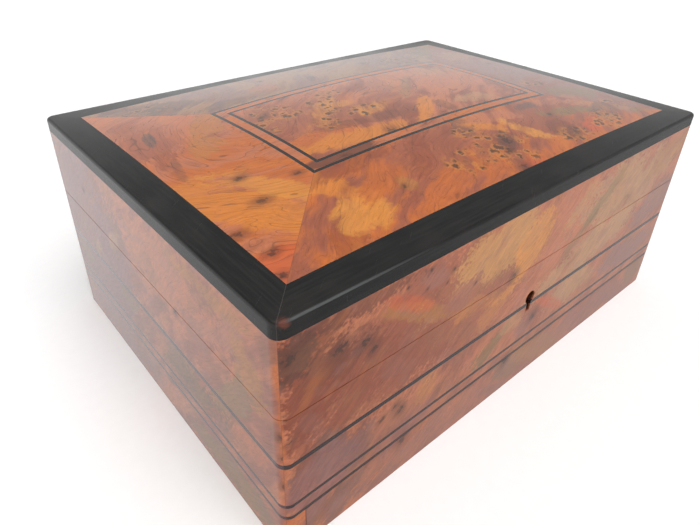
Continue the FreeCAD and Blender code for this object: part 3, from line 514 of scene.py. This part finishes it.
front_burl = burl("burl_front", "xz", ("clay", "salmon"), 40, core_axis=0, seed=1, wander=0.5,
                  dim=0.85, strand=8.0, bold=0.35, blotch=0.22, bore=KEYHOLE, **FRONT)
left_burl = burl("burl_left", "yz", ("salmon", "rose"), -42, core_axis=1, seed=2, wander=0.5,
                 dim=0.85, strand=7.0, bold=0.12, blotch=0.3, **LEFT)
back_burl = burl("burl_back", "xz", ("rose", "clay"), -38, core_axis=0, seed=3, mirror=True,
                 wander=0.5, dim=0.85, strand=9.0, bold=0.35, blotch=0.3, **FRONT)
right_burl = burl("burl_right", "yz", ("rose", "clay"), 42, core_axis=1, seed=4, mirror=True,
                  wander=0.5, dim=0.85, strand=8.0, bold=0.3, blotch=0.3, **LEFT)
# The lid's fields take a lower dim than the walls. This is partly their own darker tone and partly painted
# shade, which keeps the top, where the overhead light falls most, from reading brighter than the sides.
top_burls = {
    "lid_field_left": burl("burl_top_left", "xy", ("orange", "salmon"), 0, arcs=(-66, 20), seed=5,
                           dim=0.8, **FIELD_LEFT),
    "lid_field_front": burl("burl_top_front", "xy", ("orange", "clay"), 40, seed=6, dim=0.8,
                            strand=15.0, **FIELD_FRONT),
    # The grey-mauve tones of the back and right fields are partly the wood's own and partly painted sheen:
    # the pale veil that the varnish shows towards the far side of the lid.
    "lid_field_back": burl("burl_top_back", "xy", ("mauve", "tan"), 45, seed=7, dim=0.62, strand=15.0,
                           **FIELD_BACK),
    "lid_field_right": burl("burl_top_right", "xy", ("mauve", "rose"), 40, seed=8, dim=0.75, strand=15.0,
                            **FIELD_RIGHT),
    "lid_centre_panel": burl("burl_centre", "xy", ("salmon", "clay"), 45, seed=9, dim=0.8,
                             mitred=False, **CENTRE),
    "inlay_band": burl("band_wood", "xy", ("orange", "salmon"), 8, seed=10, dim=0.8,
                       patches=[("umber", -54, -32.5, 19, 3.4, 0, 0.85)]),
}
# Ebony by the axis that its grain runs along.
black = {along: ebony("ebony_" + "xy"[along], along) for along in (0, 1)}
# The stringing and the lines round the sides lie under the same varnish as the burl.
black_inlay = {along: ebony("ebony_inlay_" + "xy"[along], along, coat=1.0) for along in (0, 1)}
black_lines = {
    0: ebony("ebony_line_x", 0, ((46, 22, 22), (60, 34, 32)), coat=1.0),
    1: ebony("ebony_line_y", 1, ((84, 44, 48), (98, 58, 58)), coat=1.0),
}
plain_core = core_wood("core_wood")
red_felt = felt("felt")
brass = metal("brass", (232, 190, 110), (150, 108, 56), 0.2, 0.2)
key_brass = metal("key_brass", (216, 168, 92), (120, 84, 44), 0.28, 0.3)
steel = metal("steel", (190, 190, 192), (120, 118, 116), 0.25, 0.3)

BURL_SIDES = {"front": front_burl, "left": left_burl, "back": back_burl, "right": right_burl}
PLAIN_FINISHES = {"core_wood": plain_core, "felt": red_felt, "brass": brass, "key_brass": key_brass,
                  "steel": steel}
SLOTS = {part["node"]: part["material_slot"] for part in frame["record"]["subparts"]}


def finish_for(name):
    """The material of a CAD node, from its slot in the record and the side its name gives."""
    slot = SLOTS[name]
    if slot in PLAIN_FINISHES:
        return PLAIN_FINISHES[slot]
    if slot == "burl_top":
        return top_burls[name]
    side = next((s for s in BURL_SIDES if s in name.split("_")), None)
    if slot == "burl_sides":
        return BURL_SIDES["right" if name.startswith("end") else side]
    along = 1 if side in ("left", "right") else 0
    if "_line_" in name:
        return black_lines[along]
    return (black_inlay if "stringing" in name else black)[along]


for name, piece in nodes.items():
    piece.data.materials.clear()
    piece.data.materials.append(finish_for(name))

# ---- floor, light and camera ----


def floor():
    """A wide pale floor under the box, a little uneven in tone."""
    bpy.ops.mesh.primitive_circle_add(vertices=128, radius=FLOOR_RADIUS, fill_type="NGON")
    made = bpy.context.object
    made.name = "floor"
    made.visible_glossy = False
    material, g = new_graph("floor")
    speck = g.lumps(g.place(), 4)
    colour = g.mix(speck, linear((243, 243, 243)), linear((247, 247, 247)))
    g.surface(Base_Color=colour, Roughness=g.ease(speck, 0.3, 0.7, 0.75, 0.85))
    made.data.materials.append(material)


def backdrop():
    """A pale dome that only the camera sees, so the floor has no dark horizon."""
    bpy.ops.mesh.primitive_uv_sphere_add(segments=64, ring_count=32, radius=DOME_RADIUS)
    made = bpy.context.object
    made.name = "backdrop"
    made.visible_glossy = made.visible_diffuse = made.visible_shadow = made.visible_transmission = False
    material, g = new_graph("backdrop")
    glow = g.node("Emission", {"Color": linear((254, 254, 254)), "Strength": 1.0})
    g.node("OutputMaterial", {"Surface": glow.outputs[0]})
    made.data.materials.append(material)


def studio():
    """Soft white surroundings, brighter behind and to the left, and a wide light overhead."""
    world = bpy.data.worlds.new("studio")
    bpy.context.scene.world = world
    world.use_nodes = True
    g = Graph(world.node_tree)
    x, y, z = g.split(g.node("TexCoord").outputs["Generated"])
    slope = g.calc("ADD", g.calc("MULTIPLY", x, -0.12), g.calc("MULTIPLY", y, 0.2))
    darker_below = g.ease(z, -1.15, -0.25, 0.4, 1.0)
    around = g.calc("MULTIPLY", g.calc("ADD", slope, 0.64), darker_below)
    ceiling = g.calc("ADD", 0.28, g.ease(z, 0.72, 1.0, 0.0, 0.5))
    height = g.ease(z, 0.15, 0.6)
    strength = g.calc("ADD", g.calc("MULTIPLY", around, g.calc("SUBTRACT", 1.0, height)),
                      g.calc("MULTIPLY", height, ceiling))
    back = g.node("Background", {"Color": (1, 1, 1, 1), "Strength": strength})
    g.node("OutputWorld", {"Surface": back.outputs[0]})
    lamp = bpy.data.lights.new("overhead", "SUN")
    lamp.energy, lamp.angle = 2.6, math.radians(50)
    overhead = bpy.data.objects.new("overhead", lamp)
    overhead.rotation_euler = Vector((0.1, 0.5, -1)).to_track_quat("-Z", "Y").to_euler()
    overhead.visible_glossy = False
    bpy.context.collection.objects.link(overhead)
    bpy.context.scene.view_settings.view_transform = "Standard"


def camera():
    """The view from above the near left corner, looking down along the diagonal."""
    place = Vector((-0.18251, -0.18089, 0.19492))
    yaw, pitch, roll = (math.radians(a) for a in (41.72, 31.22, 1.79))
    ahead = Vector((math.sin(yaw) * math.cos(pitch), math.cos(yaw) * math.cos(pitch), -math.sin(pitch)))
    level = Vector((math.cos(yaw), -math.sin(yaw), 0))
    above = level.cross(ahead)
    right = level * math.cos(roll) + above * math.sin(roll)
    above = above * math.cos(roll) - level * math.sin(roll)
    lens = bpy.data.cameras.new("camera")
    lens.sensor_width = 36.0
    lens.lens = 29.46
    lens.shift_y = -0.0533
    lens.clip_start = 0.01
    made = bpy.data.objects.new("camera", lens)
    turn = Matrix((right, above, -ahead)).transposed()
    made.matrix_world = Matrix.Translation(place) @ turn.to_4x4()
    bpy.context.collection.objects.link(made)
    bpy.context.scene.camera = made


floor()
backdrop()
studio()
camera()
